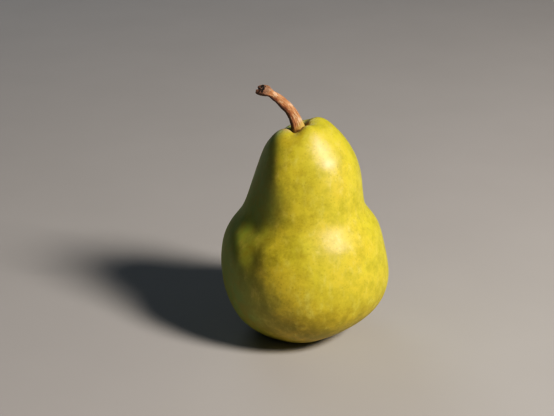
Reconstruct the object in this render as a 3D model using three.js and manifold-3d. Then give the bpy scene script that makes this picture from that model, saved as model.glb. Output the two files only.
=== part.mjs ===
// A ripe pear with a round belly and a blunt neck, standing upright on its blossom end.
// Millimetres, +Z up. The viewer stands at -Y, and the stem bends to the left, towards -X.

import * as THREE from 'three';
import { mergeVertices } from 'three/addons/utils/BufferGeometryUtils.js';
import Module from 'manifold-3d';

// The flesh's meridian from the middle of the blossom basin to the floor of the stem cavity.
// Each ring has its radius, its height and the place of its centre along X.
const MERIDIAN = [
  [0, 5.6, -2.4], // floor of the blossom basin
  [3.4, 5.2, -2.4],
  [6.4, 2.6, -2.5],
  [9.8, -0.3, -2.9], // inner edge of the resting ring
  [14, 0, -3], // outer edge of the resting ring
  [20.9, 3.9, -2],
  [28.9, 11, -0.6],
  [33.9, 20.6, 0.4],
  [34.9, 31, 0], // belly
  [33.6, 40, -0.5],
  [30.7, 48, -0.3],
  [26.1, 55, 0], // waist
  [23.8, 61, 0.2],
  [22.3, 68, 0.9], // neck
  [20.2, 75.5, 1.3],
  [17, 82.5, 0.8],
  [11.2, 88.3, -0.6], // crown
  [6.8, 90.2, -1.8], // lip of the stem cavity
  [4.3, 89, -2.6],
  [3, 86.6, -3.1],
  [1.8, 85, -3.2],
  [0, 84.6, -3.2], // floor of the stem cavity
];
const LIP_RING = 17;

// Five low ribs run out from the blossom basin and fade on the belly
const RIB_COUNT = 5;
const RIB_PHASE = 0.6;
const RIB_SWELL = 0.55;
const RIB_START = 3;
const RIB_CENTRE = 24;
const RIB_REACH = 22;
const RIB_LIFT = 0.3;
const RIB_LIFT_CENTRE = 12;
const RIB_LIFT_REACH = 9;

// The crown's lobes: the azimuth from +X in degrees, the spread in degrees and the rise
const LOBES = [
  { azimuth: 12, spread: 56, rise: 3.8 }, // right lobe
  { azimuth: -68, spread: 28, rise: 2.5 }, // near lip on the right
  { azimuth: -114, spread: 17, rise: -0.6 }, // notch before the stem
  { azimuth: -154, spread: 32, rise: 1.5 }, // near lobe on the left
  { azimuth: 164, spread: 46, rise: -2.3 }, // dip on the far left
];
const LOBE_START = 107.4;
const LOBE_SHARE_IN_CAVITY = 0.4;

// Low forms of the flank and the crown: azimuth and spread in degrees, place and reach along the
// meridian, the swell outwards and the rise
const LOW_FORMS = [
  { azimuth: 4, spread: 34, place: 83.5, reach: 3.6, swell: -0.45, rise: 0 }, // crease on the right
  { azimuth: 2, spread: 38, place: 76, reach: 4.5, swell: 0.3, rise: 0 }, // right shoulder
  { azimuth: 186, spread: 40, place: 77.5, reach: 4.5, swell: -0.35, rise: 0 }, // left waist
  { azimuth: -150, spread: 34, place: 117, reach: 5.5, swell: 0.5, rise: 0 }, // left lobe's flank
  { azimuth: -164, spread: 32, place: 118.5, reach: 4.5, swell: 0, rise: 0.95 }, // its shoulder
  { azimuth: -157, spread: 9, place: 75, reach: 6, swell: 0.55, rise: 0 }, // ridge on the near left
  { azimuth: -144, spread: 8, place: 67, reach: 6.5, swell: 0.7, rise: 0 }, // its lower part
  { azimuth: -143, spread: 8, place: 77, reach: 7, swell: -0.9, rise: 0 }, // hollow beside it
  { azimuth: -130, spread: 8, place: 70, reach: 7, swell: -0.9, rise: 0 }, // its lower part
  { azimuth: -135, spread: 26, place: 79, reach: 6, swell: -0.7, rise: 0 }, // waist above
  { azimuth: -50, spread: 30, place: 84, reach: 4, swell: -0.3, rise: 0 }, // crease towards the front
  { azimuth: -50, spread: 30, place: 72.5, reach: 4.5, swell: 0.3, rise: 0 }, // shoulder under it
  { azimuth: -64, spread: 20, place: 112, reach: 9, swell: -0.3, rise: 0 }, // flat place on the neck
  { azimuth: -64, spread: 32, place: 109.5, reach: 4.5, swell: 0.45, rise: 0 }, // edge under it
  { azimuth: -68, spread: 30, place: 114, reach: 6.5, swell: 0, rise: -0.9 }, // lobe's lower slope
  { azimuth: -110, spread: 26, place: 117, reach: 4.5, swell: 0, rise: 1.2 }, // filled groove
  { azimuth: -128, spread: 20, place: 103, reach: 11, swell: 0.8, rise: 0 }, // corner of the neck
  { azimuth: -92, spread: 16, place: 98, reach: 12, swell: -0.35, rise: 0 }, // flat front
  { azimuth: -146, spread: 22, place: 115, reach: 7, swell: 0.9, rise: 0 }, // near left shoulder
];

// The stem's centreline from its sunken root to its torn tip, with its radius
const STEM_LINE = [
  [-3.2, 0, 81, 2.1],
  [-3.2, 0, 85.5, 2.3],
  [-3.4, 0, 90, 2.4], // where it leaves the cavity
  [-5, -0.2, 95.6, 2.25],
  [-8, -0.7, 100, 1.95],
  [-11.8, -1.5, 103.6, 1.75],
  [-15.3, -2.6, 106.1, 1.85],
  [-16.7, -3.1, 106.85, 2.4], // knob
  [-17.7, -3.45, 107.4, 2.25],
];
const TANGENT_STEP = 0.1;

// Low ridges that wind along the stem
const RIDGE_COUNT = 3;
const RIDGE_HEIGHT = 0.12;
const RIDGE_TWIST = 0.07;

// The torn tip is cut at a slant, has a ragged rim and closes over a shallow crater.
// Each ring of the crater has its share of the tip's radius and its step along the stem.
const TIP_LENGTH = 4;
const TIP_SLANT = 1;
const TIP_SLANT_TURN = 2.8;
const TIP_TEETH = 5;
const TIP_RAG = 0.2;
const TIP_CRATER = [
  [0.84, 0.3],
  [0.6, -0.1],
  [0.34, -0.8],
  [0, -0.5],
];

// The calyx's root in the flesh and the rim of its cup: radius and height
const CALYX_X = -2.4;
const CALYX_ROOT_RADIUS = 1.9;
const CALYX_ROOT_TOP = 7.4;
const CALYX_PROFILE = [
  [0, 3.9], // bottom of the cup
  [1.1, 3.8],
  [1.5, 3],
  [2, 2.9], // rim
  [2.3, 3.6],
  [CALYX_ROOT_RADIUS, 4.6],
  [CALYX_ROOT_RADIUS, CALYX_ROOT_TOP],
  [0, CALYX_ROOT_TOP],
];

// The sepals lie out from the cup, droop to their tips and fold along their middle
const SEPAL_COUNT = 5;
const SEPAL_INNER_RADIUS = 1.4;
const SEPAL_LENGTH = 5.2;
const SEPAL_HALF_WIDTH = 1.7;
const SEPAL_TIP_HALF_WIDTH = 0.2;
const SEPAL_THICKNESS = 0.7;
const SEPAL_HEIGHT = 4;
const SEPAL_DROOP = 2.7;
const SEPAL_DROOP_POWER = 1.8;
const SEPAL_FOLD = 0.45;

// The withered stamens stand in the cup
const STAMEN_COUNT = 10;
const STAMEN_ROOT_RADIUS = 0.26;
const STAMEN_END_RADIUS = 0.4;
const STAMEN_LENGTH = 2.4;
const STAMEN_RING_RADIUS = 0.75;
const STAMEN_LEAN = 0.3;

// Fineness, and the gap that neighbouring pieces keep
const FLESH_SIDES = 64;
const FLESH_STEPS = 3;
const STEM_SIDES = 16;
const STEM_STEPS = 4;
const CALYX_SIDES = 20;
const SEPAL_STEPS = 6;
const STAMEN_SIDES = 6;
const MERGE_DISTANCE = 1e-4;
const GAP = 0.3;

const wasm = await Module();
wasm.setup();

const FRUIT_SKIN = new THREE.MeshStandardMaterial({ color: '#d3bb3e', roughness: 0.42, metalness: 0 });
const STEM_WOOD = new THREE.MeshStandardMaterial({ color: '#a76f41', roughness: 0.8, metalness: 0 });
const DRY_SEPAL = new THREE.MeshStandardMaterial({ color: '#4a3826', roughness: 0.9, metalness: 0 });

const TAU = 2 * Math.PI;
const radians = THREE.MathUtils.degToRad;
const smoothstep = THREE.MathUtils.smoothstep;

// 1 at the middle of a form, falling away to both sides over its reach
const bump = (distance, reach) => Math.exp(-((distance / reach) ** 2));

// The angle between two azimuths in degrees, from -180 to 180
const turn = (azimuth, middle) => THREE.MathUtils.euclideanModulo(azimuth - middle + 180, 360) - 180;

// The running chord length at each row, measured over the first columns
function chordKnots(rows, columns) {
  const knots = [0];
  for (let i = 1; i < rows.length; i++) {
    const steps = rows[i].slice(0, columns).map((value, k) => value - rows[i - 1][k]);
    knots.push(knots[i - 1] + Math.hypot(...steps));
  }
  return knots;
}

// A natural cubic spline through rows of numbers, as a function of the place along the knots
function naturalSpline(knots, rows) {
  const last = knots.length - 1;
  const gap = (i) => knots[i + 1] - knots[i];
  const slope = (i, k) => (rows[i + 1][k] - rows[i][k]) / gap(i);
  const bends = rows.map((row) => row.map(() => 0));
  const ratios = rows.map(() => 0);
  for (let i = 1; i < last; i++) {
    const pivot = 2 * (gap(i - 1) + gap(i)) - gap(i - 1) * ratios[i - 1];
    ratios[i] = gap(i) / pivot;
    bends[i] = rows[i].map((_, k) => {
      const change = 6 * (slope(i, k) - slope(i - 1, k));
      return (change - gap(i - 1) * bends[i - 1][k]) / pivot;
    });
  }
  for (let i = last - 1; i > 0; i--) {
    bends[i] = bends[i].map((bend, k) => bend - ratios[i] * bends[i + 1][k]);
  }
  return (place) => {
    let i = 0;
    while (i < last - 1 && place > knots[i + 1]) i++;
    const b = (place - knots[i]) / gap(i);
    const a = 1 - b;
    const curl = gap(i) ** 2 / 6;
    return rows[i].map((value, k) => {
      const bend = (a ** 3 - a) * bends[i][k] + (b ** 3 - b) * bends[i + 1][k];
      return a * value + b * rows[i + 1][k] + curl * bend;
    });
  };
}

// Places along the knots, with the same number of steps between each pair
function placesBetween(knots, steps) {
  const places = [knots[0]];
  for (let i = 1; i < knots.length; i++) {
    for (let k = 1; k <= steps; k++) {
      places.push(THREE.MathUtils.lerp(knots[i - 1], knots[i], k / steps));
    }
  }
  return places;
}

// Moves every vertex of a geometry to what a function makes of it
function reshape(geometry, move) {
  const position = geometry.attributes.position;
  const vertex = new THREE.Vector3();
  for (let i = 0; i < position.count; i++) {
    move(vertex.fromBufferAttribute(position, i), i);
    position.setXYZ(i, vertex.x, vertex.y, vertex.z);
  }
  return geometry;
}

// The closed solid inside a geometry, whose triangles without area are left out
function solidOf(geometry) {
  const bare = geometry.clone();
  bare.deleteAttribute('normal');
  bare.deleteAttribute('uv');
  const merged = mergeVertices(bare, MERGE_DISTANCE);
  const corners = merged.index.array;
  const triangles = [];
  for (let i = 0; i < corners.length; i += 3) {
    const [a, b, c] = corners.slice(i, i + 3);
    if (a !== b && b !== c && c !== a) triangles.push(a, b, c);
  }
  return new wasm.Manifold(new wasm.Mesh({
    numProp: 3,
    vertProperties: Float32Array.from(merged.attributes.position.array),
    triVerts: Uint32Array.from(triangles),
  }));
}

function meshOf(solid, name, material) {
  const { vertProperties, triVerts } = solid.getMesh();
  const geometry = new THREE.BufferGeometry();
  geometry.setAttribute('position', new THREE.BufferAttribute(vertProperties, 3));
  geometry.setIndex(new THREE.BufferAttribute(triVerts, 1));
  geometry.computeVertexNormals();
  const mesh = new THREE.Mesh(geometry, material);
  mesh.name = name;
  return mesh;
}

const meridianKnots = chordKnots(MERIDIAN, 2);
const meridianAt = naturalSpline(meridianKnots, MERIDIAN);

// The share of the lobes' rise: it grows from the neck's top to the lip and fades down the cavity
function lobeShare(place) {
  const rise = smoothstep(place, LOBE_START, meridianKnots[LIP_RING]);
  const depth = smoothstep(place, meridianKnots[LIP_RING + 1], meridianKnots[LIP_RING + 3]);
  return rise * THREE.MathUtils.lerp(1, LOBE_SHARE_IN_CAVITY, depth);
}

// A point of the skin, by azimuth in degrees and by place along the meridian
function skinPoint(azimuth, place) {
  const [ringRadius, ringHeight, ringX] = meridianAt(place);
  const rib = Math.cos(RIB_COUNT * radians(azimuth) + RIB_PHASE);
  const ribShare = bump(place - RIB_CENTRE, RIB_REACH) * smoothstep(place, RIB_START, RIB_LIFT_CENTRE);
  let radius = ringRadius + RIB_SWELL * ribShare * rib;
  let height = ringHeight + RIB_LIFT * bump(place - RIB_LIFT_CENTRE, RIB_LIFT_REACH) * rib;
  for (const form of LOW_FORMS) {
    const share = bump(turn(azimuth, form.azimuth), form.spread) * bump(place - form.place, form.reach);
    radius += form.swell * share;
    height += form.rise * share;
  }
  for (const lobe of LOBES) {
    height += lobe.rise * lobeShare(place) * bump(turn(azimuth, lobe.azimuth), lobe.spread);
  }
  const x = ringX + radius * Math.cos(radians(azimuth));
  const y = radius * Math.sin(radians(azimuth));
  return new THREE.Vector3(x, y, Math.max(height, 0));
}

// The whole flesh, before the sockets of the stem and the calyx are cut
function fleshSolid() {
  const places = placesBetween(meridianKnots, FLESH_STEPS);
  const profile = places.map((place) => {
    const [radius, height] = meridianAt(place);
    return new THREE.Vector2(Math.max(radius, 0), height);
  });
  const geometry = new THREE.LatheGeometry(profile, FLESH_SIDES);
  reshape(geometry, (vertex, i) => {
    const ring = i % places.length;
    const side = Math.floor(i / places.length) % FLESH_SIDES;
    const onAxis = ring === 0 || ring === places.length - 1;
    vertex.copy(skinPoint(onAxis ? 0 : (360 * side) / FLESH_SIDES, places[ring]));
  });
  return solidOf(geometry);
}

const stemKnots = chordKnots(STEM_LINE, 3);
const stemAt = naturalSpline(stemKnots, STEM_LINE);
const stemLength = stemKnots.at(-1);

// The centre, the direction and the radius of the stem at a place along it, also past its ends
function stemFrame(place) {
  const inside = THREE.MathUtils.clamp(place, 0, stemLength);
  const [x, y, z, radius] = stemAt(inside);
  const before = new THREE.Vector3(...stemAt(Math.max(inside - TANGENT_STEP, 0)));
  const after = new THREE.Vector3(...stemAt(Math.min(inside + TANGENT_STEP, stemLength)));
  const along = after.sub(before).normalize();
  const centre = new THREE.Vector3(x, y, z).addScaledVector(along, place - inside);
  return { centre, along, radius };
}

// Radius and place of each ring of the stem, grown by a margin, from its root to the crater in its tip
function stemProfile(margin) {
  const root = new THREE.Vector2(0, -margin);
  const flank = placesBetween(stemKnots, STEM_STEPS).map((place) => {
    return new THREE.Vector2(stemFrame(place).radius + margin, place === 0 ? -margin : place);
  });
  const tip = TIP_CRATER.map(([share, step]) => {
    return new THREE.Vector2(share * flank.at(-1).x, stemLength + step);
  });
  return [root, ...flank, ...tip];
}

// The stem turned straight along Y, then ridged, cut at a slant and bent along its line
function stemSolid(margin) {
  const geometry = new THREE.LatheGeometry(stemProfile(margin), STEM_SIDES);
  reshape(geometry, (vertex) => {
    const radius = Math.hypot(vertex.x, vertex.z);
    const angle = Math.atan2(vertex.x, vertex.z);
    const ridge = RIDGE_HEIGHT * Math.cos(RIDGE_COUNT * angle + RIDGE_TWIST * vertex.y);
    const slant = TIP_SLANT * Math.cos(angle - TIP_SLANT_TURN);
    const rag = TIP_RAG * Math.sin(TIP_TEETH * angle);
    const tipShare = smoothstep(vertex.y, stemLength - TIP_LENGTH, stemLength);
    const tipRadius = STEM_LINE.at(-1).at(-1);
    const { centre, along } = stemFrame(vertex.y + (tipShare * (slant + rag) * radius) / tipRadius);
    const across = new THREE.Vector3(0, 1, 0).addScaledVector(along, -along.y).normalize();
    const outward = new THREE.Vector3().crossVectors(across, along);
    const spread = radius + ridge * Math.min(radius, 1);
    vertex.copy(centre);
    vertex.addScaledVector(across, spread * Math.sin(angle));
    vertex.addScaledVector(outward, spread * Math.cos(angle));
  });
  return solidOf(geometry);
}

// The hole for the calyx's root, a gap wider and deeper than the root
function calyxSocket() {
  const radius = CALYX_ROOT_RADIUS + GAP;
  const height = CALYX_ROOT_TOP + GAP;
  const geometry = new THREE.CylinderGeometry(radius, radius, height, CALYX_SIDES);
  return solidOf(geometry.rotateX(Math.PI / 2).translate(CALYX_X, 0, height / 2));
}

function calyxCup() {
  const profile = CALYX_PROFILE.map(([radius, height]) => new THREE.Vector2(radius, height));
  return new THREE.LatheGeometry(profile, CALYX_SIDES).rotateX(Math.PI / 2);
}

// One dry sepal along +X, thin and pointed
function sepal() {
  const geometry = new THREE.BoxGeometry(1, 2, SEPAL_THICKNESS, SEPAL_STEPS, 4, 1);
  return reshape(geometry, (vertex) => {
    const share = vertex.x + 0.5;
    const taper = Math.sqrt(1 - share ** 2);
    const fold = SEPAL_FOLD * (1 - Math.abs(vertex.y));
    vertex.x = SEPAL_INNER_RADIUS + SEPAL_LENGTH * share;
    vertex.y *= THREE.MathUtils.lerp(SEPAL_TIP_HALF_WIDTH, SEPAL_HALF_WIDTH, taper);
    vertex.z += SEPAL_HEIGHT - SEPAL_DROOP * share ** SEPAL_DROOP_POWER - fold;
  });
}

function stamen() {
  const sizes = [STAMEN_ROOT_RADIUS, STAMEN_END_RADIUS, STAMEN_LENGTH, STAMEN_SIDES];
  const geometry = new THREE.CylinderGeometry(...sizes).rotateX(Math.PI / 2).rotateY(-STAMEN_LEAN);
  return geometry.translate(STAMEN_RING_RADIUS, 0, SEPAL_HEIGHT - STAMEN_LENGTH / 2);
}

// The cup, the sepals and the stamens grown together
function calyxSolid() {
  const pieces = [calyxCup()];
  for (let i = 0; i < SEPAL_COUNT; i++) {
    pieces.push(sepal().rotateZ((TAU * (i + 0.5) - RIB_PHASE) / SEPAL_COUNT));
  }
  for (let i = 0; i < STAMEN_COUNT; i++) {
    pieces.push(stamen().rotateZ((TAU * i) / STAMEN_COUNT));
  }
  const solids = pieces.map((piece) => solidOf(piece.translate(CALYX_X, 0, 0)));
  return solids.reduce((joined, solid) => joined.add(solid));
}

const flesh = fleshSolid().subtract(stemSolid(GAP)).subtract(calyxSocket());
const pear = new THREE.Group();
pear.add(meshOf(flesh, 'fruit', FRUIT_SKIN));
pear.add(meshOf(stemSolid(0), 'stem', STEM_WOOD));
pear.add(meshOf(calyxSolid(), 'calyx', DRY_SEPAL));

// The origin is under the middle of the whole pear's box, on the surface it stands on
const box = new THREE.Box3().setFromObject(pear);
const middle = box.getCenter(new THREE.Vector3());
pear.position.set(-middle.x, -middle.y, -box.min.z);

export default pear;
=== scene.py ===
"""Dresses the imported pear: speckled waxy skin, a woody stem, a dry calyx, a pale floor and soft light.

Shapes are worked out in millimetres and put into the meshes in metres. +Z is up, the viewer stands
at -Y, and an azimuth of 0 points along +X.
"""
import logging
import math
from dataclasses import dataclass, field
from enum import Enum
from typing import Any

import bpy
import numpy as np
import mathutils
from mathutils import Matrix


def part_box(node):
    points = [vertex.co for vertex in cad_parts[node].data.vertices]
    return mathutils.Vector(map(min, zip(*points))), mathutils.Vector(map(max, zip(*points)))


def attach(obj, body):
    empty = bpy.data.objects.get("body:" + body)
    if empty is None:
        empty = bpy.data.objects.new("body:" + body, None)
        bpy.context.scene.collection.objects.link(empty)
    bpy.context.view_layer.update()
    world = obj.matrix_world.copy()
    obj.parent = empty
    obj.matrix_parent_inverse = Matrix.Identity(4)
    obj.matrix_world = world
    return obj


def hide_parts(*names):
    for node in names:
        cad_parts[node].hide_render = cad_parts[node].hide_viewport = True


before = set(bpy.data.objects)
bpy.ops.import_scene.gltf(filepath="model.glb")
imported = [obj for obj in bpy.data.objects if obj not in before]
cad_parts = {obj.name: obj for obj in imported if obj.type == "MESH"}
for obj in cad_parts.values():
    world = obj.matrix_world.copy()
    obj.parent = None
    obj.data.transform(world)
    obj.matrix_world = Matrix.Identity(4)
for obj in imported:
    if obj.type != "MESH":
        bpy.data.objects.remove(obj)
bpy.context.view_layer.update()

MM = 0.001
BODY = "root"
MIX_BELOW, MIX_ABOVE = 6, 7
LOG = logging.getLogger("pear")

Vector = tuple[float, float, float]
Colour = tuple[float, float, float]
Limits = tuple[float, float]
Rows = tuple[tuple[float, ...], ...]


class Piece(Enum):
    """The three pieces of the pear, with the CAD node and the material slot of each."""

    FRUIT = ("fruit", "skin")
    STEM = ("stem", "stem_wood")
    CALYX = ("calyx", "dry_calyx")

    def __init__(self, node: str, slot: str) -> None:
        """Keeps the node's and the slot's names."""
        self.node = node
        self.slot = slot


def smoothstep(start: float, end: float, value: np.ndarray) -> np.ndarray:
    """A share that eases from 0 at start to 1 at end."""
    share = np.clip((value - start) / (end - start), 0.0, 1.0)
    return share * share * (3.0 - 2.0 * share)


def bump(distance: np.ndarray, reach: float | np.ndarray) -> np.ndarray:
    """A bell of height 1: e to the power of minus the square of distance over reach."""
    return np.exp(-np.square(distance / reach))


def turn(azimuth: np.ndarray, middle: float) -> np.ndarray:
    """The angle from middle to azimuth in degrees, from -180 to 180."""
    return (azimuth - middle + 180.0) % 360.0 - 180.0


def chord_knots(rows: np.ndarray, columns: int) -> np.ndarray:
    """The running chord length at each row, whose first columns are coordinates."""
    steps = np.linalg.norm(np.diff(rows[:, :columns], axis=0), axis=1)
    return np.concatenate([[0.0], np.cumsum(steps)])


def natural_spline(knots: np.ndarray, rows: np.ndarray, places: np.ndarray) -> np.ndarray:
    """A natural cubic spline through rows of numbers.

    In words: the second derivatives at the knots solve the usual three-term system with zero at
    both ends, and each span is the cubic that has its end values and second derivatives.

    Args:
        knots: Rising places of the rows.
        rows: One row of values for each knot.
        places: Where the spline is wanted, in any shape.

    Returns:
        The values, in the shape of places with one more axis for the columns.
    """
    gaps = np.diff(knots)
    slopes = np.diff(rows, axis=0) / gaps[:, None]
    inner = np.arange(1, len(knots) - 1)
    system = np.eye(len(knots))
    system[inner, inner - 1] = gaps[:-1]
    system[inner, inner] = 2.0 * (gaps[:-1] + gaps[1:])
    system[inner, inner + 1] = gaps[1:]
    changes = np.zeros_like(rows)
    changes[inner] = 6.0 * np.diff(slopes, axis=0)
    bends = np.linalg.solve(system, changes)
    span = np.clip(np.searchsorted(knots, places, side="right") - 1, 0, len(gaps) - 1)
    gap = gaps[span][..., None]
    after = (places[..., None] - knots[span][..., None]) / gap
    before = 1.0 - after
    curl = (before**3 - before) * bends[span] + (after**3 - after) * bends[span + 1]
    return before * rows[span] + after * rows[span + 1] + gap**2 / 6.0 * curl


def unit(vectors: np.ndarray) -> np.ndarray:
    """Vectors of length 1 along the last axis."""
    return vectors / np.maximum(np.linalg.norm(vectors, axis=-1, keepdims=True), 1e-12)


@dataclass(frozen=True)
class SmoothField:
    """A smooth random height over space, made of plane waves with random directions and phases."""

    seed: int
    wavelength: float
    count: int = 40
    stretch: Vector = (1.0, 1.0, 1.0)

    def at(self, points: np.ndarray) -> np.ndarray:
        """The field's value, about -1 to 1: the sum of the waves' sines over the root of their count.

        Args:
            points: Places in millimetres, with the coordinates on the last axis.

        Returns:
            One value for each place.
        """
        draw = np.random.default_rng(self.seed)
        directions = unit(draw.normal(size=(self.count, 3)))
        lengths = self.wavelength * draw.uniform(0.7, 1.5, size=(self.count, 1))
        waves = directions / lengths * 2.0 * math.pi / np.array(self.stretch)
        phases = draw.uniform(0.0, 2.0 * math.pi, size=self.count)
        return np.sin(points @ waves.T + phases).sum(axis=-1) / math.sqrt(self.count)


@dataclass(frozen=True)
class Bell:
    """A bell with a middle, a reach to each side and a top."""

    middle: float
    reach: float
    top: float = 1.0

    def at(self, value: np.ndarray) -> np.ndarray:
        """The bell over a plain measure."""
        return self.top * bump(value - self.middle, self.reach)

    def round_at(self, azimuth: np.ndarray) -> np.ndarray:
        """The bell over an azimuth in degrees."""
        return self.top * bump(turn(azimuth, self.middle), self.reach)


@dataclass(frozen=True)
class Fade:
    """A share that eases from 0 at its start to its top at its end, which may lie lower."""

    start: float
    end: float
    top: float = 1.0

    def at(self, value: np.ndarray) -> np.ndarray:
        """The share over a plain measure."""
        return self.top * smoothstep(self.start, self.end, value)


def grid_axes(rings: int, sides: int) -> tuple[np.ndarray, np.ndarray]:
    """A column of shares from 0 to 1, and a row of angles round a circle in radians."""
    return np.linspace(0.0, 1.0, rings)[:, None], (np.arange(sides) * 2.0 * math.pi / sides)[None, :]


def stacked(*parts: np.ndarray) -> np.ndarray:
    """Arrays that fit together, put side by side along a last axis."""
    return np.stack(np.broadcast_arrays(*parts), axis=-1)


def closed_surface(grid: np.ndarray) -> tuple[np.ndarray, np.ndarray, np.ndarray]:
    """Vertices and faces of a closed surface whose first and last rings are single points.

    Args:
        grid: Points, rings along the first axis and sides round the second, faces outwards where
            the sides run anticlockwise seen from the last ring.

    Returns:
        The vertices, the four-sided faces and the three-sided faces round both ends.
    """
    rings, sides = grid.shape[:2]
    vertices = per_vertex(grid)
    index = 1 + np.arange((rings - 2) * sides).reshape(rings - 2, sides)
    right = np.roll(index, -1, axis=1)
    quads = np.stack([index[:-1], right[:-1], right[1:], index[1:]], axis=-1).reshape(-1, 4)
    first = np.stack([np.zeros(sides, int), right[0], index[0]], axis=-1)
    last = np.stack([np.full(sides, len(vertices) - 1), index[-1], right[-1]], axis=-1)
    return vertices, quads, np.concatenate([first, last])


def per_vertex(values: np.ndarray) -> np.ndarray:
    """Values on a closed surface's grid, put in the order of its vertices."""
    inner = values[1:-1].reshape(-1, *values.shape[2:])
    return np.concatenate([values[:1, 0], inner, values[-1:, 0]])


def add_object(name: str, data: bpy.types.ID) -> bpy.types.Object:
    """An object of a mesh, light or camera, made at the origin and linked to the scene."""
    bpy.context.scene.collection.objects.link(made := bpy.data.objects.new(name, data))
    return made


@dataclass
class MeshBuilder:
    """Collects closed surfaces with values at their vertices and turns them into one object."""

    name: str
    vertices: list[np.ndarray] = field(default_factory=list)
    faces: list[list[int]] = field(default_factory=list)
    values: dict[str, list[np.ndarray]] = field(default_factory=dict)

    def add(self, grid: np.ndarray, **values: np.ndarray) -> None:
        """Adds one closed surface.

        Args:
            grid: Its points in millimetres, as closed_surface takes them.
            values: A number or a vector at each point of the grid, by attribute name.
        """
        start = sum(len(part) for part in self.vertices)
        vertices, quads, triangles = closed_surface(grid)
        self.vertices.append(vertices)
        self.faces += (quads + start).tolist() + (triangles + start).tolist()
        for name, value in values.items():
            self.values.setdefault(name, []).append(per_vertex(value))

    def finish(self, piece: Piece, material: bpy.types.Material) -> None:
        """Makes the object at the origin, which rides on the body and replaces its CAD node.

        Args:
            piece: Which piece of the pear it is.
            material: Its finish.
        """
        mesh = bpy.data.meshes.new(self.name)
        mesh.from_pydata(np.concatenate(self.vertices) * MM, [], self.faces)
        for name, parts in self.values.items():
            value = np.concatenate(parts)
            kind, key = ("FLOAT", "value") if value.ndim == 1 else ("FLOAT_VECTOR", "vector")
            attribute = mesh.attributes.new(name, kind, "POINT")
            attribute.data.foreach_set(key, value.astype(np.float32).ravel())
        mesh.shade_smooth()
        mesh.materials.append(material)
        obj = add_object(self.name, mesh)
        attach(obj, BODY)
        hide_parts(piece.node)
        LOG.info("%s: %d vertices, %d faces", self.name, len(mesh.vertices), len(mesh.polygons))


class Signal:
    """A shader socket's output that takes part in arithmetic, each step a Math node."""

    def __init__(self, graph: "Graph", socket: bpy.types.NodeSocket) -> None:
        """Wraps an output socket of a graph."""
        self.graph = graph
        self.socket = socket

    def __add__(self, other: "Signal | float") -> "Signal":
        """The sum."""
        return self.graph.math("ADD", self, other)

    def __sub__(self, other: "Signal | float") -> "Signal":
        """The difference."""
        return self.graph.math("SUBTRACT", self, other)

    def __mul__(self, other: "Signal | float") -> "Signal":
        """The product."""
        return self.graph.math("MULTIPLY", self, other)

    def __rsub__(self, other: float) -> "Signal":
        """The difference from a number."""
        return self.graph.math("SUBTRACT", other, self)

    __radd__ = __add__
    __rmul__ = __mul__

    def clamped(self) -> "Signal":
        """The value kept between 0 and 1."""
        return self.graph.math("ADD", self, 0.0, use_clamp=True)

    def step(self, start: float, end: float) -> "Signal":
        """A share that eases between two values, which may fall as well as rise.

        Args:
            start: The value where the share is 0.
            end: The value where it is 1.

        Returns:
            The share.
        """
        low, high, at_low, at_high = (start, end, 0.0, 1.0) if start < end else (end, start, 1.0, 0.0)
        settings = {"interpolation_type": "SMOOTHSTEP"}
        inputs = {"Value": self, "From Min": low, "From Max": high, "To Min": at_low, "To Max": at_high}
        return self.graph.node("ShaderNodeMapRange", settings, inputs)["Result"]


@dataclass(frozen=True)
class Grain:
    """A cloudy noise: its clouds' size in millimetres, its detail and roughness, and its stretch."""

    size: float
    detail: float = 3.0
    roughness: float = 0.5
    stretch: Vector = (1.0, 1.0, 1.0)

    def inputs(self) -> dict[str, float]:
        """What a noise node takes apart from its place."""
        return {"Scale": 1.0 / self.size, "Detail": self.detail, "Roughness": self.roughness}


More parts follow.
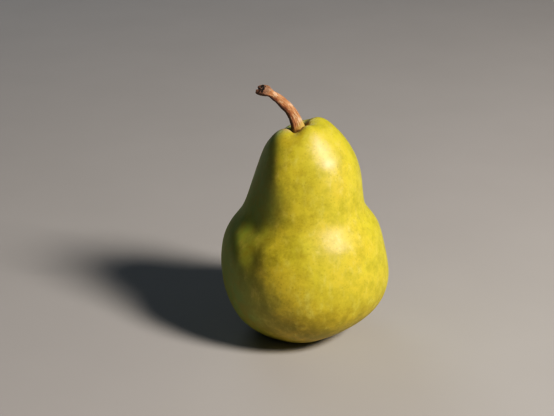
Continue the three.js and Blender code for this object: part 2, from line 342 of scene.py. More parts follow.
class Graph:
    """A material's node tree, and the one way its nodes are made."""

    def __init__(self, name: str) -> None:
        """Starts a material with an empty tree.

        Args:
            name: The material's name.
        """
        self.material = bpy.data.materials.new(name)
        self.material.use_nodes = True
        self.tree = self.material.node_tree
        self.tree.nodes.clear()

    def node(self, kind: str, settings: dict[str, Any], inputs: dict[str | int, Any]) -> dict[str, Signal]:
        """Makes a node of any type.

        Args:
            kind: The node's type.
            settings: Its own settings, which are set first.
            inputs: A value or a Signal for each input socket, by name or place.

        Returns:
            Its outputs by name.
        """
        made = self.tree.nodes.new(kind)
        for name, value in settings.items():
            setattr(made, name, value)
        for key, value in inputs.items():
            if isinstance(value, Signal):
                self.tree.links.new(value.socket, made.inputs[key])
            else:
                made.inputs[key].default_value = value
        enabled = [socket for socket in made.outputs if socket.enabled]
        return {socket.name: Signal(self, socket) for socket in enabled}

    def math(self, operation: str, *values: "Signal | float", use_clamp: bool = False) -> Signal:
        """A Math node on values or Signals."""
        settings = {"operation": operation, "use_clamp": use_clamp}
        return self.node("ShaderNodeMath", settings, dict(enumerate(values)))["Value"]

    def mix(self, share: "Signal | float", below: "Signal | Colour", above: "Signal | Colour") -> Signal:
        """A colour between two, with a share of the second from 0 to 1, through a Mix node."""
        inputs = {"Factor": share, MIX_BELOW: opaque(below), MIX_ABOVE: opaque(above)}
        return self.node("ShaderNodeMix", {"data_type": "RGBA"}, inputs)["Result"]

    def object_mm(self) -> Signal:
        """Object coordinates in millimetres."""
        place = self.node("ShaderNodeTexCoord", {}, {})["Object"]
        return self.scaled(place, (1.0 / MM, 1.0 / MM, 1.0 / MM))

    def attribute(self, name: str, output: str = "Fac") -> Signal:
        """A value kept at the mesh's vertices."""
        return self.node("ShaderNodeAttribute", {"attribute_name": name}, {})[output]

    def scaled(self, vector: Signal, scale: Vector) -> Signal:
        """A vector multiplied by another, part by part."""
        settings = {"operation": "MULTIPLY"}
        return self.node("ShaderNodeVectorMath", settings, {0: vector, 1: scale})["Vector"]

    def noise(self, place: Signal, grain: Grain) -> Signal:
        """Cloudy noise from 0 to 1, read at a place in millimetres."""
        inputs = {"Vector": self.scaled(place, grain.stretch), **grain.inputs()}
        return self.node("ShaderNodeTexNoise", {}, inputs)["Fac"]

    def cells(self, place: Signal, size: float) -> dict[str, Signal]:
        """Scattered points about size apart: the distance to the nearest, in cells, and its own colour."""
        inputs = {"Vector": place, "Scale": 1.0 / size, "Randomness": 1.0}
        return self.node("ShaderNodeTexVoronoi", {"feature": "F1"}, inputs)

    def bumped(self, height_mm: Signal) -> Signal:
        """A normal tilted by a height in millimetres."""
        inputs = {"Strength": 1.0, "Distance": MM, "Height": height_mm}
        return self.node("ShaderNodeBump", {}, inputs)["Normal"]

    def finish(self, inputs: dict[str, Any]) -> bpy.types.Material:
        """Ends the tree in a Principled shader.

        Args:
            inputs: Values and Signals for the shader's sockets, by name.

        Returns:
            The finished material.
        """
        shader = self.node("ShaderNodeBsdfPrincipled", {}, inputs)["BSDF"]
        self.node("ShaderNodeOutputMaterial", {}, {"Surface": shader})
        return self.material


def opaque(colour: "Signal | Colour") -> "Signal | tuple[float, float, float, float]":
    """A colour with an alpha of 1, or a Signal as it is."""
    return colour if isinstance(colour, Signal) else (*colour, 1.0)


@dataclass(frozen=True)
class SkinFinish:
    """The waxy skin: yellow turning green, clouded and mottled, with cork at the crown and the basin."""

    yellow: Colour = (0.645, 0.54, 0.045)
    lemon: Colour = (0.62, 0.585, 0.048)
    green: Colour = (0.285, 0.385, 0.05)
    olive: Colour = (0.35, 0.305, 0.012)
    ochre: Colour = (0.48, 0.335, 0.02)
    russet: Colour = (0.33, 0.19, 0.055)
    cork: Colour = (0.50, 0.39, 0.18)
    bloom_and_painted_sheen: Colour = (0.67, 0.61, 0.12)
    broad: Grain = Grain(12.0, 2.0)
    mottle: Grain = Grain(5.0, 6.0, 0.74)
    cloud: Grain = Grain(3.0, 4.0, 0.66, (1.0, 1.0, 0.45))
    fine: Grain = Grain(1.1, 2.0, 0.6)
    net: Grain = Grain(0.8, 4.0, 0.7)
    speck_size: float = 1.15
    speck_depth: float = 0.006
    fine_height: float = 0.015
    cloud_height: float = 0.03
    crust_height: float = 0.14
    crust_gain: float = 1.6
    crust_cover: float = 0.85
    russet_limits: Limits = (0.4, 1.1)
    cork_limits: Limits = (0.35, 1.15)
    roughness: float = 0.47
    coat: float = 0.1
    neck_coat: float = 0.38
    coat_roughness: float = 0.37
    subsurface: float = 0.1
    subsurface_radius: Vector = (1.0, 0.7, 0.2)
    subsurface_scale: float = 0.003

    def material(self) -> bpy.types.Material:
        """Builds the skin's node tree.

        Returns:
            The material, which reads the attributes "green", "lemon", "ochre", "olive", "russet",
            "cork" and "gloss".
        """
        graph = Graph("pear_skin")
        place = graph.object_mm()
        grains = (self.broad, self.mottle, self.cloud, self.fine, self.net)
        broad, mottle, cloud, fine, net = (graph.noise(place, grain) for grain in grains)
        colour = self._ground(graph, broad, mottle, cloud)
        specks = self._specks(graph, place, fine, mottle)
        colour = graph.mix(specks, colour, self.olive)
        ragged = (net - 0.5) * 1.2 + (cloud - 0.5) * 0.9
        russet = (graph.attribute("russet") * self.crust_gain + ragged).step(*self.russet_limits)
        colour = graph.mix(russet * self.crust_cover, colour, self.russet)
        # Pale cork on the left lobe's crest, partly pale russet and partly a painted highlight.
        cork = (graph.attribute("cork") * self.crust_gain + ragged).step(*self.cork_limits)
        colour = graph.mix(cork * self.crust_cover, colour, self.cork)
        crust = (russet + cork).clamped()
        height = fine * self.fine_height + cloud * self.cloud_height - specks * self.speck_depth
        height = height + crust * fine * self.crust_height
        gloss = graph.attribute("gloss") * self.neck_coat
        return graph.finish({
            "Base Color": colour,
            "Roughness": self.roughness + mottle * 0.12 + crust * 0.2,
            "Normal": graph.bumped(height),
            "Coat Weight": (self.coat + gloss - crust * 0.4).clamped(),
            "Coat Roughness": self.coat_roughness,
            "Subsurface Weight": self.subsurface,
            "Subsurface Radius": self.subsurface_radius,
            "Subsurface Scale": self.subsurface_scale,
        })

    def _ground(self, graph: Graph, broad: Signal, mottle: Signal, cloud: Signal) -> Signal:
        """The clouded colour under the specks.

        In words: yellow turns lemon and green by the side of the fruit, ochre low down (partly painted
        shade) and at the crown, paler in small upward-drawn clouds of waxy film that are partly a painted
        sheen, and olive where the mottling is dense, in patches and low down, partly painted shade.

        Args:
            graph: The skin's node tree.
            broad: Wide clouds.
            mottle: Blotches of many sizes.
            cloud: Small clouds, drawn out upwards.

        Returns:
            The colour.
        """
        side = graph.attribute("lemon") + (broad - 0.5) * 1.2
        colour = graph.mix(side.step(0.1, 0.9), self.yellow, self.lemon)
        side = graph.attribute("green") + (broad - 0.5) * 0.5 + (mottle - 0.5) * 0.5
        turned = side.step(0.15, 0.78) * (1.45 - mottle)
        colour = graph.mix(turned, colour, self.green)
        # Ochre low down is partly painted shade; at the crown it is the skin's own colour.
        ochre = graph.attribute("ochre")
        ochre = (ochre + (mottle + broad - 1.0) * ochre * 2.0).clamped()
        colour = graph.mix(ochre * (1.0 - turned * 0.85), colour, self.ochre)
        # Pale waxy film in upward-drawn clouds, partly a painted sheen; less of it where the skin turns
        # green.
        colour = graph.mix(cloud.step(0.48, 0.75) * (1.0 - turned * 0.8), colour, self.bloom_and_painted_sheen)
        # The olive share: dense mottling, plus patches and a band low down that are partly painted shade.
        patch = graph.attribute("olive")
        olive = patch * 0.35 + (mottle - 0.44) * (2.5 + patch) + (broad - 0.5) * 0.9
        return graph.mix(olive.clamped(), colour, self.olive)

    def _specks(self, graph: Graph, place: Signal, fine: Signal, mottle: Signal) -> Signal:
        """How much each point belongs to a pore's soft dark dot, strongest where the mottling is dense.

        Args:
            graph: The skin's node tree.
            place: The place on the skin in millimetres.
            fine: A fine unevenness of the dots' outlines.
            mottle: Blotches of many sizes.

        Returns:
            The share of the dots' colour.
        """
        cells = graph.cells(place, self.speck_size)
        strength = graph.node("ShaderNodeSeparateColor", {}, {"Color": cells["Color"]})["Red"]
        dot = (cells["Distance"] + (fine - 0.5) * 0.5).step(0.46, 0.1)
        return dot * (0.08 + strength * strength * 0.42) * (0.3 + mottle * 1.4)


@dataclass(frozen=True)
class WoodFinish:
    """The stem's dry bark: orange-brown with long fibres, pale corky dots and a dark torn end."""

    bark: Colour = (0.60, 0.30, 0.16)
    pale: Colour = (0.84, 0.60, 0.42)
    dark: Colour = (0.28, 0.11, 0.05)
    weathered: Colour = (0.21, 0.135, 0.1)
    torn: Colour = (0.32, 0.225, 0.17)
    # Painted shade: the stem's underside and the knob's lower side; also the dark of the torn end's crack
    # lines.
    shade: Colour = (0.1, 0.042, 0.02)
    flesh: Colour = (0.60, 0.43, 0.12)
    fibre: Grain = Grain(0.45, 5.0, 0.65, (1.0, 1.0, 0.13))
    patch: Grain = Grain(2.2)
    grain: Grain = Grain(0.3, 3.0, 0.6)
    dot_spacing: float = 1.0
    dot_stretch: Vector = (1.0, 1.0, 0.7)
    dot_limits: Limits = (0.3, 0.15)

    def material(self) -> bpy.types.Material:
        """Builds the bark's node tree.

        Returns:
            The material, which reads the attributes "straight", "under", "tip", "torn" and "foot".
        """
        graph = Graph("pear_stem_wood")
        straight = graph.attribute("straight", "Vector")
        fibre, patch, grain = (graph.noise(straight, kind) for kind in (self.fibre, self.patch, self.grain))
        dots = graph.cells(graph.scaled(straight, self.dot_stretch), self.dot_spacing)["Distance"]
        dots = dots.step(*self.dot_limits)
        colour = graph.mix(fibre.step(0.35, 0.62), self.dark, self.bark)
        colour = graph.mix((fibre * 0.5 + patch * 0.5).step(0.5, 0.62) * 0.75, colour, self.pale)
        colour = graph.mix(dots * 0.5, colour, self.pale)
        # Painted shade along the stem's lower side, broken up by the fibres.
        under = graph.attribute("under")
        colour = graph.mix((under * (1.3 - fibre * 0.8)).clamped(), colour, self.shade)
        tip = (graph.attribute("tip") + (patch - 0.5) * 0.7).clamped()
        colour = graph.mix(tip * 0.85, colour, self.weathered)
        colour = graph.mix(graph.attribute("foot"), colour, self.flesh)
        torn = (graph.attribute("torn") * 1.3 + (grain - 0.5) * 0.9).clamped()
        colour = graph.mix(torn * 0.9, colour, self.torn)
        # The torn end's dark crack lines, plus painted shade on the knob's lower side.
        cracks_and_painted_shade = torn * grain.step(0.52, 0.44) * 0.7 + (under * 1.8 + tip - 1.1).clamped()
        colour = graph.mix(cracks_and_painted_shade.clamped() * 0.9, colour, self.shade)
        height = fibre * 0.16 + patch * 0.1 + dots * 0.06 + torn * grain * 0.15
        return graph.finish({
            "Base Color": colour,
            "Roughness": 0.62 + fibre * 0.2,
            "Normal": graph.bumped(height),
        })


@dataclass(frozen=True)
class DryLeafFinish:
    """The withered calyx: dark brown, paler along the edges, wrinkled."""

    brown: Colour = (0.085, 0.048, 0.026)
    edge: Colour = (0.23, 0.135, 0.07)
    black: Colour = (0.022, 0.015, 0.011)
    patch: Grain = Grain(1.4, 4.0, 0.6)
    grain: Grain = Grain(0.35)

    def material(self) -> bpy.types.Material:
        """Builds the calyx's node tree.

        Returns:
            The material, which reads the attribute "edge".
        """
        graph = Graph("pear_dry_calyx")
        place = graph.object_mm()
        patch, grain = (graph.noise(place, kind) for kind in (self.patch, self.grain))
        colour = graph.mix(patch.step(0.35, 0.65), self.black, self.brown)
        edge = (graph.attribute("edge") + (grain - 0.5) * 0.8).clamped()
        colour = graph.mix(edge * 0.8, colour, self.edge)
        return graph.finish({
            "Base Color": colour,
            "Roughness": 0.7 + grain * 0.2,
            "Normal": graph.bumped(grain * 0.08 + patch * 0.12),
        })


@dataclass(frozen=True)
class FloorFinish:
    """A plain pale floor with a faint, even unevenness."""

    pale: Colour = (0.43, 0.445, 0.46)
    darker: Colour = (0.3999, 0.41385, 0.4278)
    cloud: Grain = Grain(60.0)
    roughness: float = 0.85

    def material(self) -> bpy.types.Material:
        """Builds the floor's node tree.

        Returns:
            The material.
        """
        graph = Graph("studio_floor")
        colour = graph.mix(graph.noise(graph.object_mm(), self.cloud), self.darker, self.pale)
        return graph.finish({"Base Color": colour, "Roughness": self.roughness})


@dataclass(frozen=True)
class Form:
    """A low bell-shaped form, in degrees round and millimetres along, outwards and upwards."""

    azimuth: float
    spread: float
    place: float
    reach: float
    swell: float = 0.0
    rise: float = 0.0

    def share(self, azimuth: np.ndarray, place: np.ndarray) -> np.ndarray:
        """The bell round times the bell along."""
        return bump(turn(azimuth, self.azimuth), self.spread) * bump(place - self.place, self.reach)


@dataclass(frozen=True)
class SkinMap:
    """Where the skin has which colour, by azimuth in degrees and by height or place in millimetres.

    The near side of the green is the one towards the viewer; the places of the lobe's, the cavity's
    and the lip's colours count from the crown's lip. The ochre and olive low down and some olive
    patches are partly the skin's own colour and partly painted shade, and the cork on the left lobe's
    crest is partly pale russet and partly a painted highlight.
    and the lip's colours count from the crown's lip.
    """

    green_middle: float = -175.0
    green_far_spread: float = 95.0
    green_near_spread: float = 45.0
    green_waist: Bell = Bell(60, 13, 24)
    green_foot: Fade = Fade(44, 24, 22)
    lit_patch: Form = Form(-145, 11, 74, 8)
    lit_share: float = 0.15
    lemon_ground: float = 0.3
    lemon_side: Bell = Bell(5, 45, 0.5)
    lemon_crown: Bell = Bell(92, 12, 0.3)
    # Ochre and olive towards the bottom: partly the blossom end's own colour, partly painted shade on the low
    # belly that faces away from the light.
    ochre_foot_and_painted_shade: Fade = Fade(40, 2, 0.9)
    olive_foot_and_painted_shade: Fade = Fade(42, 4, 0.9)
    # The patch at the front of the waist is olive skin; those at the left of the waist and of the belly are
    # painted shade beside the shaded side, and the low one in front is partly olive skin, partly painted
    # shade.
    olive_patches_and_painted_shade: tuple[Form, ...] = (
        Form(-88, 20, 86, 5), Form(-124, 10, 90, 9), Form(-117, 15, 72, 9), Form(-75, 34, 37, 6),
    )
    olive_share: float = 0.55
    lobe_side: Bell = Bell(-140, 40)
    lobe_shoulder: Bell = Bell(-5, 4)
    lobe_ochre: float = 0.5
    lobe_russet: float = 0.2
    cavity: Fade = Fade(1.5, 5, 0.75)
    basin: Fade = Fade(15, 6, 0.7)
    # The left lobe's crest: pale russet in part, a painted highlight in part where light catches it.
    cork_side: Bell = Bell(-155, 42, 0.85)
    cork_lip_and_painted_highlight: Bell = Bell(0, 2.6)
    gloss: Fade = Fade(60, 76)

    def shares(
        self, azimuth: np.ndarray, place: np.ndarray, height: np.ndarray, lip: float
    ) -> dict[str, np.ndarray]:
        """How lemon, green, ochre, olive, russet, glossy and corky the skin is, mostly from 0 to 1.

        Args:
            azimuth: Degrees from +X.
            place: Millimetres along the meridian.
            height: Millimetres above the resting plane.
            lip: The place of the crown's lip.

        Returns:
            The shares by attribute name.
        """
        away = turn(azimuth, self.green_middle)
        near = self.green_near_spread + self.green_waist.at(height) + self.green_foot.at(height)
        green = bump(away, np.where(away > 0.0, near, self.green_far_spread))
        lemon = self.lemon_ground + self.lemon_side.round_at(azimuth) + self.lemon_crown.at(height)
        patches = sum(patch.share(azimuth, place) for patch in self.olive_patches_and_painted_shade)
        lobe = self.lobe_side.round_at(azimuth) * self.lobe_shoulder.at(place - lip)
        crust = np.maximum(self.cavity.at(place - lip), self.basin.at(place))
        return {
            "lemon": lemon,
            "green": green - self.lit_share * self.lit_patch.share(azimuth, place),
            "ochre": self.ochre_foot_and_painted_shade.at(height) + self.lobe_ochre * lobe,
            "olive": self.olive_share * patches + self.olive_foot_and_painted_shade.at(height),
            "russet": crust + self.lobe_russet * lobe,
            "gloss": self.gloss.at(height),
            "cork": self.cork_side.round_at(azimuth) * self.cork_lip_and_painted_highlight.at(place - lip),
        }


@dataclass
class Fruit:
    """The flesh and its skin, one closed surface by azimuth and by place along its meridian.

    The forms are the CAD model's; the dents are two shallow ones more, seen in the skin alone.
    """

    meridian: Rows = (
        (0, 5.6, -2.4), (3.4, 5.2, -2.4), (6.4, 2.6, -2.5), (9.8, -0.3, -2.9), (14, 0, -3),
        (20.9, 3.9, -2), (28.9, 11, -0.6), (33.9, 20.6, 0.4), (34.9, 31, 0), (33.6, 40, -0.5),
        (30.7, 48, -0.3), (26.1, 55, 0), (23.8, 61, 0.2), (22.3, 68, 0.9), (20.2, 75.5, 1.3),
        (17, 82.5, 0.8), (11.2, 88.3, -0.6), (6.8, 90.2, -1.8), (4.3, 89, -2.6), (3, 86.6, -3.1),
        (1.8, 85, -3.2), (0, 84.6, -3.2),
    )
    lip_ring: int = 17
    rib_count: int = 5
    rib_phase: float = 0.6
    rib_swell: Bell = Bell(24, 22, 0.55)
    rib_onset: Fade = Fade(3, 12)
    rib_lift: Bell = Bell(12, 9, 0.3)
    lobes: tuple[Bell, ...] = (
        Bell(12, 56, 3.8), Bell(-68, 28, 2.5), Bell(-114, 17, -0.6), Bell(-154, 32, 1.5),
        Bell(164, 46, -2.3),
    )
    lobe_start: float = 107.4
    lobe_fade: float = 0.6
    forms: tuple[Form, ...] = (
        Form(4, 34, 83.5, 3.6, swell=-0.45), Form(2, 38, 76, 4.5, swell=0.3),
        Form(186, 40, 77.5, 4.5, swell=-0.35), Form(-150, 34, 117, 5.5, swell=0.5),
        Form(-164, 32, 118.5, 4.5, rise=0.95), Form(-157, 9, 75, 6, swell=0.55),
        Form(-144, 8, 67, 6.5, swell=0.7), Form(-143, 8, 77, 7, swell=-0.9),
        Form(-130, 8, 70, 7, swell=-0.9), Form(-135, 26, 79, 6, swell=-0.7),
        Form(-50, 30, 84, 4, swell=-0.3), Form(-50, 30, 72.5, 4.5, swell=0.3),
        Form(-64, 20, 112, 9, swell=-0.3), Form(-64, 32, 109.5, 4.5, swell=0.45),
        Form(-68, 30, 114, 6.5, rise=-0.9), Form(-110, 26, 117, 4.5, rise=1.2),
        Form(-128, 20, 103, 11, swell=0.8), Form(-92, 16, 98, 12, swell=-0.35),
        Form(-146, 22, 115, 7, swell=0.9),
    )
    dents: tuple[Form, ...] = (Form(-127, 14, 102, 7, swell=0.5), Form(-127, 14, 84, 7, swell=-0.5))
    rings: int = 264
    sides: int = 352
    coarse_grid: tuple[int, int] = (120, 180)
    unevenness: tuple[tuple[float, SmoothField], ...] = (
        (0.07, SmoothField(7, 16.0)), (0.021, SmoothField(11, 6.0)),
    )
    even_foot: Fade = Fade(0.6, 6.0)
    colours: SkinMap = SkinMap()
    finish: SkinFinish = SkinFinish()

    def __post_init__(self) -> None:
        """Works out the knots, and the shift that puts the surface where the CAD node is."""
        self.rows = np.array(self.meridian, float)
        self.knots = chord_knots(self.rows, 2)
        self.shift = np.zeros(3)
        points = self.surface(*self._places(*self.coarse_grid)).reshape(-1, 3)
        low, high = (np.array(corner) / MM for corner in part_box(Piece.FRUIT.node))
        middle = (points.min(axis=0) + points.max(axis=0)) / 2.0
        self.shift[:2] = ((low + high) / 2.0 - middle)[:2]

    def _places(self, rings: int, sides: int) -> tuple[np.ndarray, np.ndarray]:
        """A grid of azimuths in degrees and one of places along the meridian in millimetres."""
        share, angle = grid_axes(rings, sides)
        return tuple(np.broadcast_arrays(np.degrees(angle) - 180.0, self.knots[-1] * share))

    def lobe_share(self, place: np.ndarray) -> np.ndarray:
        """The share of the lobes' rise: it grows to the lip and fades down the cavity."""
        lip, inside, floor = self.knots[[self.lip_ring, self.lip_ring + 1, self.lip_ring + 3]]
        return smoothstep(self.lobe_start, lip, place) * (1.0 - Fade(inside, floor, self.lobe_fade).at(place))

    def surface(self, azimuth: np.ndarray, place: np.ndarray) -> np.ndarray:
        """Points of the skin in millimetres.

        In words: the spline through the meridian's rings gives each level's radius, height and
        centre. Five ribs add a cosine of the azimuth near the blossom end, forms and dents add bells
        to the radius and the height, lobes lift the crown, and nothing goes below the resting plane.

        Args:
            azimuth: Degrees from +X.
            place: Millimetres along the meridian.

        Returns:
            The points, with the coordinates on the last axis.
        """
        radius, height, centre = np.moveaxis(natural_spline(self.knots, self.rows, place), -1, 0)
        angle = np.radians(azimuth)
        rib = np.cos(self.rib_count * angle + self.rib_phase)
        radius = radius + self.rib_swell.at(place) * self.rib_onset.at(place) * rib
        height = height + self.rib_lift.at(place) * rib
        for form in (*self.forms, *self.dents):
            radius = radius + form.swell * form.share(azimuth, place)
            height = height + form.rise * form.share(azimuth, place)
        height = height + self.lobe_share(place) * sum(lobe.round_at(azimuth) for lobe in self.lobes)
        x, y = centre + radius * np.cos(angle), radius * np.sin(angle)
        return stacked(x, y, np.maximum(height, 0.0)) + self.shift

    def _uneven(self, points: np.ndarray) -> np.ndarray:
        """Moves the skin along its normals by a smooth random height that fades at the resting plane.

        Args:
            points: The even skin's points in millimetres.

        Returns:
            The moved points.
        """
        along = np.gradient(points, axis=0)
        around = (np.roll(points, -1, axis=1) - np.roll(points, 1, axis=1)) / 2.0
        normals = unit(np.cross(around, along))
        height = sum(size * waves.at(points) for size, waves in self.unevenness)
        height = height * self.even_foot.at(points[..., 2])
        height[[0, 1, -2, -1]] = 0.0
        return points + normals * height[..., None]

    def build(self) -> None:
        """Makes the skin's mesh and dresses it."""
        azimuth, place = self._places(self.rings, self.sides)
        points = self._uneven(self.surface(azimuth, place))
        shares = self.colours.shares(azimuth, place, points[..., 2], self.knots[self.lip_ring])
        builder = MeshBuilder("pear_skin")
        builder.add(points, **shares)
        builder.finish(Piece.FRUIT, self.finish.material())


@dataclass
class Stem:
    """The woody stem, a ridged rod bent along its line, with a knob torn off at its end.

    Each knuckle is a bell along the stem and one over the cosine of the angle, which is 1 on the
    upper side of the bend and -1 on the lower. The last one is the flare at the foot.
    """

    shift: np.ndarray
    line: Rows = (
        (-3.2, 0, 81, 2.1), (-3.2, 0, 85.5, 2.3), (-3.4, 0, 90, 2.4), (-5, -0.2, 95.6, 2.25),
        (-8, -0.7, 100, 1.95), (-11.8, -1.5, 103.6, 1.75), (-15.3, -2.6, 106.1, 1.85),
        (-16.7, -3.1, 106.85, 2.4), (-17.7, -3.45, 107.4, 2.25),
    )
    ridge_count: int = 3
    ridge_height: float = 0.12
    ridge_twist: float = 0.07
    tip_length: float = 5.5
    tip_slant: float = 1.0
    tip_slant_turn: float = 2.8
    tip_rag: float = 0.28
    tip_waves: float = 5.0
    furrow_height: float = 0.05
    lump_height: float = 0.05
    tip_lump_height: float = 0.1
    furrows: SmoothField = SmoothField(21, 1.5, stretch=(1.0, 1.0, 6.0))
    lumps: SmoothField = SmoothField(23, 2.6)
    rag: SmoothField = SmoothField(29, 1.1)
    knuckles: tuple[tuple[Bell, Bell], ...] = (
        (Bell(21, 1.6, 0.22), Bell(-1, 0.9)), (Bell(29.5, 1.3, 0.25), Bell(1, 0.9)),
        (Bell(9, 2.2, 0.7), Bell(1, 0.8)),
    )
    # Where painted shade falls on the bark: the stem's lower side, turned a little.
    shaded: Fade = Fade(-0.3, 0.75)
    shaded_turn: float = 0.2
    foot: Fade = Fade(12, 8, 0.85)
    foot_slant: float = 2.0
    crater: Rows = (
        (0.96, 0.16), (0.84, 0.2), (0.7, 0.1), (0.52, -0.02), (0.34, -0.1), (0.16, 0), (0, 0.05),
    )
    crater_steps: int = 26
    torn_rings: int = 22
    rings: int = 300
    sides: int = 128
    line_step: float = 0.1
    finish: WoodFinish = WoodFinish()

    def __post_init__(self) -> None:
        """Works out the knots of the line."""
        self.rows = np.array(self.line, float)
        self.knots = chord_knots(self.rows, 3)
        self.length = self.knots[-1]

    def _frame(self, place: np.ndarray) -> tuple[np.ndarray, np.ndarray, np.ndarray]:
        """The stem's line at places along it, also past its ends.

        Args:
            place: Millimetres from the sunken root.

        Returns:
            The centres, the directions and the radii.
        """
        inside = np.clip(place, 0.0, self.length)
        here, before, after = (
            natural_spline(self.knots, self.rows, np.clip(inside + step, 0.0, self.length))
            for step in (0.0, -self.line_step, self.line_step)
        )
        along = unit(after[..., :3] - before[..., :3])
        return here[..., :3] + along * (place - inside)[..., None], along, here[..., 3]

    def _profile(self) -> tuple[np.ndarray, np.ndarray]:
        """The stem's outline, from the root's middle along the flank to the crater's middle.

        Returns:
            The place and the radius of each ring in millimetres.
        """
        flank = np.linspace(0.0, self.length, self.rings)
        radius = self._frame(flank)[2]
        crater = np.array(((1.0, 0.0), *self.crater))
        steps = np.linspace(0.0, 1.0, self.crater_steps)
        shares, offsets = natural_spline(np.linspace(0.0, 1.0, len(crater)), crater, steps).T
        places = np.concatenate([[0.0], flank, self.length + offsets[1:]])
        return places, np.concatenate([[0.0], radius, np.maximum(shares[1:], 0.0) * radius[-1]])

    def surface(self) -> tuple[np.ndarray, dict[str, np.ndarray]]:
        """Points of the bark in millimetres, with the values that its finish reads.

        In words: each ring of the profile gets three low winding ridges, random lengthwise furrows,
        random lumps and the knuckles' bells, its places near the tip are slanted by a cosine and torn
        by a sine of the angle, and the ring stands square to the stem's line.

        Returns:
            The grid of points, and the attributes by name.
        """
        places, radii = self._profile()
        place, angle = np.broadcast_arrays(places[:, None], grid_axes(len(places), self.sides)[1])
        radius = radii[:, None]
        straight = stacked(radius * np.cos(angle), radius * np.sin(angle), place)
        tip = smoothstep(self.length - self.tip_length, self.length, place)
        torn = np.zeros_like(place)
        torn[-self.torn_rings:] = 1.0
        swell = self.ridge_height * np.cos(self.ridge_count * angle + self.ridge_twist * place)
        swell = swell + self.furrow_height * self.furrows.at(straight)
        swell = swell + (self.lump_height + self.tip_lump_height * tip) * self.lumps.at(straight)
        swell = swell + sum(along.at(place) * side.at(np.cos(angle)) for along, side in self.knuckles)
        slant = self.tip_slant * np.cos(angle - self.tip_slant_turn)
        rag = self.tip_rag * (np.sin(self.tip_waves * angle) + 0.8 * self.rag.at(straight))
        shifted = place + tip * (slant + rag) * radius / radii.max()
        centre, along, _ = self._frame(shifted)
        across = unit(np.array([0.0, 1.0, 0.0]) - along * along[..., 1:2])
        outward = np.cross(across, along)
        spread = (radius + swell * np.minimum(radius, 1.0))[..., None]
        points = centre + spread * (across * np.sin(angle)[..., None] + outward * np.cos(angle)[..., None])
        foot = self.foot.at(place - self.foot_slant * np.cos(angle))
        # Painted shade share along the stem's lower side, read by the bark as its under share.
        under = self.shaded.at(-np.cos(angle + self.shaded_turn))
        values = {"straight": straight, "under": under, "tip": tip, "torn": torn, "foot": foot}
        return points + self.shift, values

    def build(self) -> None:
        """Makes the stem's mesh and dresses it."""
        points, values = self.surface()
        builder = MeshBuilder("pear_stem")
        builder.add(points, **values)
        builder.finish(Piece.STEM, self.finish.material())


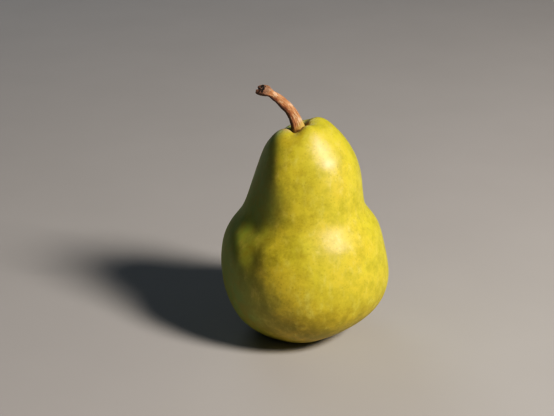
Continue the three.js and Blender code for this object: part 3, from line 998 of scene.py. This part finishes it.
@dataclass
class Calyx:
    """The dry remains of the flower in the blossom basin: a cup, five sepals and withered stamens."""

    shift: np.ndarray
    centre: float = -2.4
    cup: Rows = (
        (0, 3.9), (0.6, 3.9), (1.1, 3.75), (1.35, 3.3), (1.6, 2.95), (1.9, 2.85), (2.15, 3.1), (2.3, 3.6),
        (2.1, 4.3), (1.9, 5), (1.9, 6.2), (1.7, 7.1), (0, 7.4),
    )
    sepal_count: int = 5
    sepal_inner_radius: float = 1.4
    sepal_length: float = 5.2
    sepal_half_width: float = 1.7
    sepal_thickness: float = 0.42
    sepal_height: float = 4.0
    sepal_droop: float = 2.7
    sepal_droop_power: float = 1.8
    sepal_fold: float = 0.45
    sepal_turn: float = -0.12
    sepal_seed: int = 100
    stamen_count: int = 14
    stamen_seed: int = 300
    cup_grid: tuple[int, int] = (60, 72)
    sepal_grid: tuple[int, int] = (48, 40)
    stamen_grid: tuple[int, int] = (18, 10)
    rim: Bell = Bell(2.9, 0.5, 0.16)
    rim_waves: int = 7
    rim_edge: Bell = Bell(2.9, 0.35)
    finish: DryLeafFinish = DryLeafFinish()

    def _cup(self) -> np.ndarray:
        """The cup and its root: the profile's spline turned round the centre, with a wavy rim.

        Returns:
            The grid of points in millimetres.
        """
        rows = np.array(self.cup, float)
        knots = chord_knots(rows, 2)
        share, angle = grid_axes(*self.cup_grid)
        radius, height = np.moveaxis(natural_spline(knots, rows, knots[-1] * share), -1, 0)
        radius = np.maximum(radius, 0.0)
        height = height + self.rim.at(height) * np.sin(self.rim_waves * angle)
        return stacked(radius * np.cos(angle), radius * np.sin(angle), height)

    def _sepal(self, number: int) -> tuple[np.ndarray, np.ndarray]:
        """One sepal and its edge share.

        In words: along the blade the half width falls as the root of one minus the square of the
        share of its length, and its section is a flat ellipse folded along the middle. The blade
        droops by a power of the share, its edges wave, and its tip curls up or down by its number.

        Args:
            number: Which sepal it is.

        Returns:
            The grid of points, and how near each is to the blade's edge.
        """
        draw = np.random.default_rng(self.sepal_seed + number)
        long, wide, curl, sway = draw.uniform([0.9, 0.85, -0.5, -0.5], [1.08, 1.1, 0.7, 0.5])
        share, angle = grid_axes(*self.sepal_grid)
        root = np.minimum(1.0, share * 14.0)
        taper = np.sqrt(np.maximum(1.0 - share**2, 0.0)) * root
        half = self.sepal_half_width * wide * taper
        thick = 0.5 * self.sepal_thickness * np.sqrt(np.minimum(1.0, (1.0 - share) * 10.0)) * root
        across = np.cos(angle)
        x = self.sepal_inner_radius + self.sepal_length * long * share
        y = half * across + sway * share**2
        droop = self.sepal_droop * share**self.sepal_droop_power - curl * share**4
        fold = self.sepal_fold * (1.0 - np.abs(across)) * taper
        wave = 0.16 * np.sin(9.0 * share + number) * across * taper
        z = self.sepal_height - droop - fold + wave + thick * np.sin(angle)
        edge = smoothstep(0.55, 1.0, np.abs(across)) + 0.5 * share**3
        turned = 2.0 * math.pi * (number + 0.5) / self.sepal_count + self.sepal_turn
        return self._turned(stacked(x, y, z), turned), edge

    def _stamen(self, number: int) -> np.ndarray:
        """One withered stamen: a thin rod that bends as it leaves the cup, with a small swollen end.

        Args:
            number: Which stamen it is.

        Returns:
            The grid of points in millimetres.
        """
        draw = np.random.default_rng(self.stamen_seed + number)
        lean, bend, length, ring = draw.uniform([0.1, -0.5, 1.7, 0.45], [0.5, 0.9, 2.5, 1.0])
        share, angle = grid_axes(*self.stamen_grid)
        ends = np.sqrt(np.clip(share * 12.0, 0.0, 1.0) * np.clip((1.0 - share) * 12.0, 0.0, 1.0))
        radius = (0.13 + 0.17 * bump(share - 0.88, 0.1)) * ends
        x = ring + (lean * share + bend * share**2) * length * 0.5 + radius * np.cos(angle)
        y = radius * np.sin(angle) + 0.25 * math.sin(number) * share**2
        z = self.sepal_height - length * share
        return self._turned(stacked(x, y, z), 2.0 * math.pi * number / self.stamen_count)[:, ::-1]

    def _turned(self, points: np.ndarray, angle: float) -> np.ndarray:
        """Points turned about the cup's own axis by an angle in radians."""
        cosine, sine = math.cos(angle), math.sin(angle)
        return points @ np.array([[cosine, sine, 0.0], [-sine, cosine, 0.0], [0.0, 0.0, 1.0]])

    def build(self) -> None:
        """Makes one mesh of the cup, the sepals and the stamens and dresses it."""
        builder = MeshBuilder("pear_calyx")
        place = self.shift + np.array([self.centre, 0.0, 0.0])
        cup = self._cup()
        builder.add(cup + place, edge=self.rim_edge.at(cup[..., 2]))
        for number in range(self.sepal_count):
            points, edge = self._sepal(number)
            builder.add(points + place, edge=edge)
        for number in range(self.stamen_count):
            points = self._stamen(number)
            builder.add(points + place, edge=np.zeros(points.shape[:2]))
        builder.finish(Piece.CALYX, self.finish.material())


@dataclass(frozen=True)
class Lamp:
    """A round soft lamp: its way from the pear, its distance and diameter in metres, its watts."""

    name: str
    towards: Vector
    distance: float
    size: float
    power: float
    colour: Colour

    def add(self, aim_height: float) -> None:
        """Adds the lamp to the scene.

        Args:
            aim_height: The height on the pear that it faces, in metres.
        """
        light = bpy.data.lights.new(self.name, "AREA")
        light.shape = "DISK"
        light.size = self.size
        light.energy = self.power
        light.color = self.colour
        direction = unit(np.array(self.towards))
        lamp = add_object(self.name, light)
        lamp.location = direction * self.distance + np.array([0.0, 0.0, aim_height])
        lamp.rotation_euler = look_along(-direction)


@dataclass
class Studio:
    """The pale floor, the soft lights and the camera at the photograph's viewing angle."""

    floor_size: float = 6.0
    floor_finish: FloorFinish = FloorFinish()
    lamps: tuple[Lamp, ...] = (
        Lamp("key_light", (0.653, -0.424, 0.629), 1.15, 0.32, 18.5, (1.0, 0.86, 0.74)),
        Lamp("fill_light", (-0.35, 0.75, 0.56), 1.6, 0.9, 3.0, (0.86, 0.93, 1.0)),
    )
    lamp_aim_height: float = 0.05
    ambient: Colour = (0.018, 0.021, 0.024)
    film: Rows = (
        (0.05, 0.03), (0.1, 0.07), (0.2, 0.185), (0.3, 0.305), (0.45, 0.475), (0.7, 0.7),
    )
    elevation: float = 25.0
    distance: float = 0.548
    lens: float = 85.0
    sensor: float = 36.0
    frame_width: int = 554
    frame_height: int = 416
    aim_height: float = 0.035
    aim_column: float = 304.9
    aim_row: float = 252.0

    def add_floor(self) -> None:
        """Adds the floor at height 0, which isn't part of the pear."""
        half = self.floor_size / 2.0
        corners = [(-half, -half, 0.0), (half, -half, 0.0), (half, half, 0.0), (-half, half, 0.0)]
        mesh = bpy.data.meshes.new("studio_floor")
        mesh.from_pydata(corners, [], [(0, 1, 2, 3)])
        mesh.materials.append(self.floor_finish.material())
        floor = add_object("studio_floor", mesh)

    def add_lights(self) -> None:
        """Adds the key light at the right front, a weak fill from behind and light from all round."""
        for lamp in self.lamps:
            lamp.add(self.lamp_aim_height)
        world = bpy.data.worlds.new("even_light")
        world.use_nodes = True
        background = world.node_tree.nodes["Background"]
        background.inputs["Color"].default_value = (*self.ambient, 1.0)
        background.inputs["Strength"].default_value = 1.0
        bpy.context.scene.world = world

    def add_camera(self, shift: np.ndarray) -> None:
        """Adds the camera, turned so that the fruit falls where the photograph has it.

        In words: the camera looks down by the elevation at a point on the fruit's axis, and its aim
        moves off that point across and up by as much as the point is off the picture's middle.

        Args:
            shift: Where the fruit's own axis is, in millimetres.
        """
        down = math.radians(self.elevation)
        back = np.array([0.0, -math.cos(down), math.sin(down)])
        up = np.array([0.0, math.sin(down), math.cos(down)])
        aim = np.array([shift[0] * MM, shift[1] * MM, self.aim_height])
        pixel = self.distance * self.sensor / self.lens / self.frame_width
        across = (self.frame_width / 2.0 - self.aim_column) * pixel
        above = (self.aim_row - self.frame_height / 2.0) * pixel
        target = aim + np.array([across, 0.0, 0.0]) + up * above
        data = bpy.data.cameras.new("camera")
        data.lens = self.lens
        data.sensor_width = self.sensor
        camera = add_object("camera", data)
        camera.location = aim + back * self.distance
        camera.rotation_euler = look_along(target - np.array(camera.location))
        bpy.context.scene.camera = camera

    def develop(self) -> None:
        """Sets the film's curve, which takes the darkest tones down and lifts the middle ones."""
        settings = bpy.context.scene.view_settings
        settings.view_transform = "Standard"
        settings.use_curve_mapping = True
        combined = settings.curve_mapping.curves[3]
        for level in self.film:
            combined.points.new(*level)
        settings.curve_mapping.update()


def look_along(direction: np.ndarray) -> Vector:
    """The turn of a camera or lamp that looks along a direction, its top kept upwards."""
    x, y, z = unit(direction)
    return (math.acos(-z), 0.0, math.atan2(y, x) - math.pi / 2.0)


def main() -> None:
    """Builds the studio and the pear's pieces in order, and reports each one."""
    logging.basicConfig(level=logging.INFO, format="%(name)s %(message)s")
    fruit = Fruit()
    fruit.build()
    Stem(fruit.shift).build()
    Calyx(fruit.shift).build()
    studio = Studio()
    studio.add_floor()
    studio.add_lights()
    studio.add_camera(fruit.shift)
    studio.develop()


if __name__ == "__main__":
    main()
